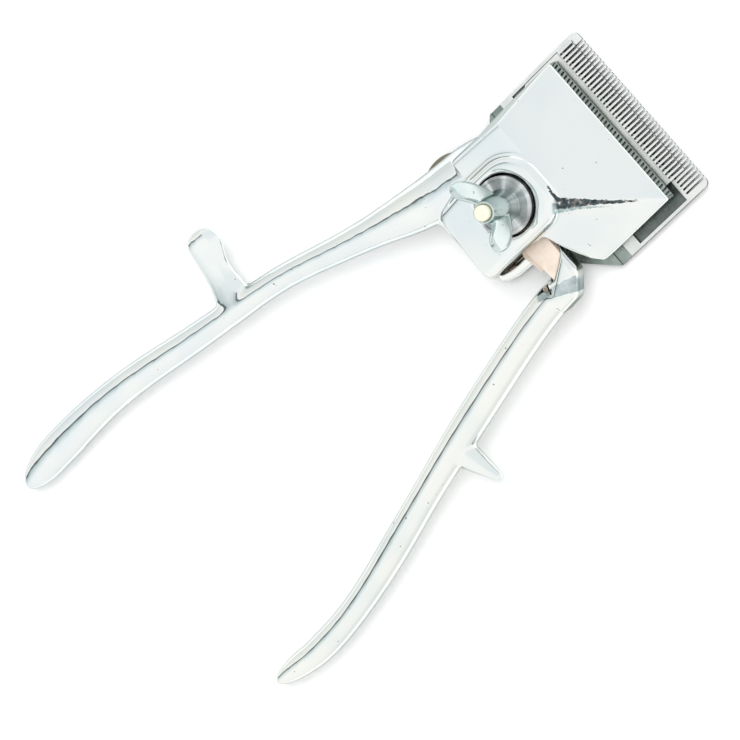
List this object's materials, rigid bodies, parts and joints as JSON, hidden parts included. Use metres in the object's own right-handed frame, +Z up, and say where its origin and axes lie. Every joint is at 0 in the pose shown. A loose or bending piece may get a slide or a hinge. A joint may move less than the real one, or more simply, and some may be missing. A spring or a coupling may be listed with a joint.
{
  "type": "hand clipper",
  "caption": "Two-handled animal hair clipper: squeezing the handles slides a toothed cutter across a fixed comb under a chrome cap; a wing nut sets the blade tension",
  "frame": {"origin": "On the centre stud's axis, in the plane of the comb's sole", "axes": "+Y to the comb's teeth, +X to the moving handle's side, +Z up along the stud to the wing nut"},
  "size_m": [0.1607, 0.3059, 0.05],
  "materials": {
    "housing_chrome": "polished chrome plate on a smooth casting, with a few tiny pits",
    "handle_chrome": "polished chrome plate with a few tiny pits",
    "nut_chrome": "bright plate, slightly hazy",
    "comb_steel": "ground steel, brighter on the teeth, darker in the relief",
    "cutter_steel": "ground steel",
    "base_steel": "bare brownish steel",
    "lever_steel": "bare warm beige casting with worn edges",
    "bush_brass": "plain bearing metal",
    "pin_steel": "turned steel",
    "rivet_steel": "bright steel",
    "screw_steel": "turned steel",
    "washer_steel": "stamped steel",
    "spring_steel": "drawn spring wire, oiled",
    "cup_steel": "dark turned steel, half bright",
    "stud_metal": "pale brassy turned end"
  },
  "bodies": {
    "head": {"housing": "housing_chrome", "comb_plate": "comb_steel", "comb_screws": "screw_steel", "base_plate": "base_steel", "base_screws": "screw_steel", "centre_stud": "stud_metal", "hub_washer": "washer_steel", "thrust_washer": "washer_steel", "tension_spring": "spring_steel", "spring_post": "pin_steel", "return_spring": "spring_steel", "stop_pin": "pin_steel"},
    "lever_and_handle": {"lever": "lever_steel", "pivot_bush": "bush_brass", "drive_pin": "pin_steel", "drive_roller": "pin_steel", "moving_handle": "handle_chrome", "handle_rivets": "rivet_steel"},
    "cutter": {"cutter_blade": "cutter_steel"},
    "tension_cup": {"tension_cup": "cup_steel"},
    "wing_nut": {"wing_nut": "nut_chrome"}
  },
  "joints": [
    {"name": "handle_squeeze", "type": "hinge", "parent": "head", "child": "lever_and_handle", "pos_m": [0, 0, 0.012], "axis": [0, 0, -1], "range_deg": [0, 18], "stiffness_Nm_per_rad": 1.2, "springref_deg": -20.05, "deforming": ["return_spring"]},
    {"name": "cutter_slide", "type": "slide", "parent": "head", "child": "cutter", "axis": [1, 0, 0], "range_m": [0, 0.0083]},
    {"name": "tension_cup_slide", "type": "slide", "parent": "head", "child": "tension_cup", "axis": [0, 0, 1], "range_m": [0, 0.001], "deforming": ["tension_spring"]},
    {"name": "wing_nut_turn", "type": "hinge", "parent": "tension_cup", "child": "wing_nut", "pos_m": [0, 0, 0.03], "axis": [0, 0, 1], "range_deg": [0, 362]}
  ],
  "couplings": [
    {"joint": "cutter_slide", "follows": "handle_squeeze", "m_per_rad": 0.0261},
    {"joint": "wing_nut_turn", "follows": "tension_cup_slide", "rad_per_m": 6283.2}
  ]
}
